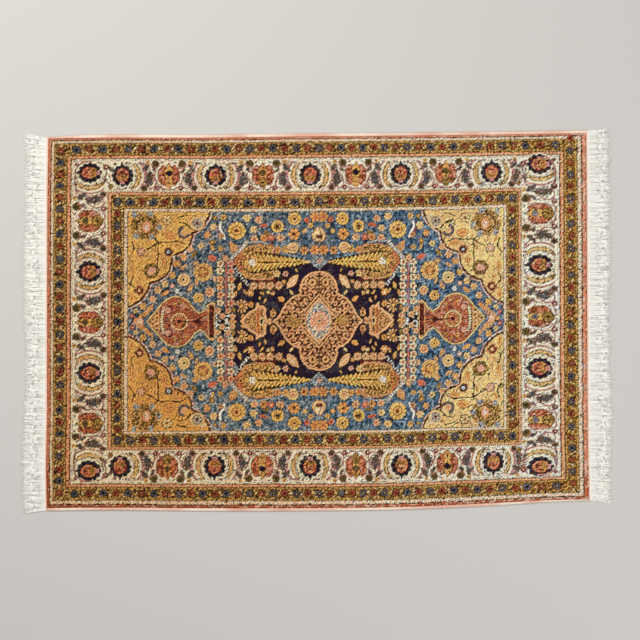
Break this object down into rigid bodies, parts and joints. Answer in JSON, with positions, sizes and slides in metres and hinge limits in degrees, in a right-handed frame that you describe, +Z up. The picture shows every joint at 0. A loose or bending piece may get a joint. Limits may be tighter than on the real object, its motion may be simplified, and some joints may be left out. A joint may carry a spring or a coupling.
{
  "type": "kayseri rug",
  "caption": "Flat rectangular hand-knotted rug with overcast side cords, a narrow flat-woven strip and a fringe of separate strands at each short end, lying on the floor.",
  "frame": {"origin": "centre of the rug's outer box, on the floor it lies on", "axes": "+X along the rug's length, from one fringed end to the other; +Y across its width; +Z up, out of the pile"},
  "size_m": [1.7114, 1.1054, 0.005],
  "materials": {
    "pile": "short silky cut pile, patterned",
    "selvedge": "overcast yarn, matt",
    "fringe": "plied warp yarn, matt"
  },
  "bodies": {
    "root": {"rug_pile": "pile", "selvedge_north": "selvedge", "selvedge_south": "selvedge", "fringe_west": "fringe", "fringe_east": "fringe"}
  },
  "joints": []
}
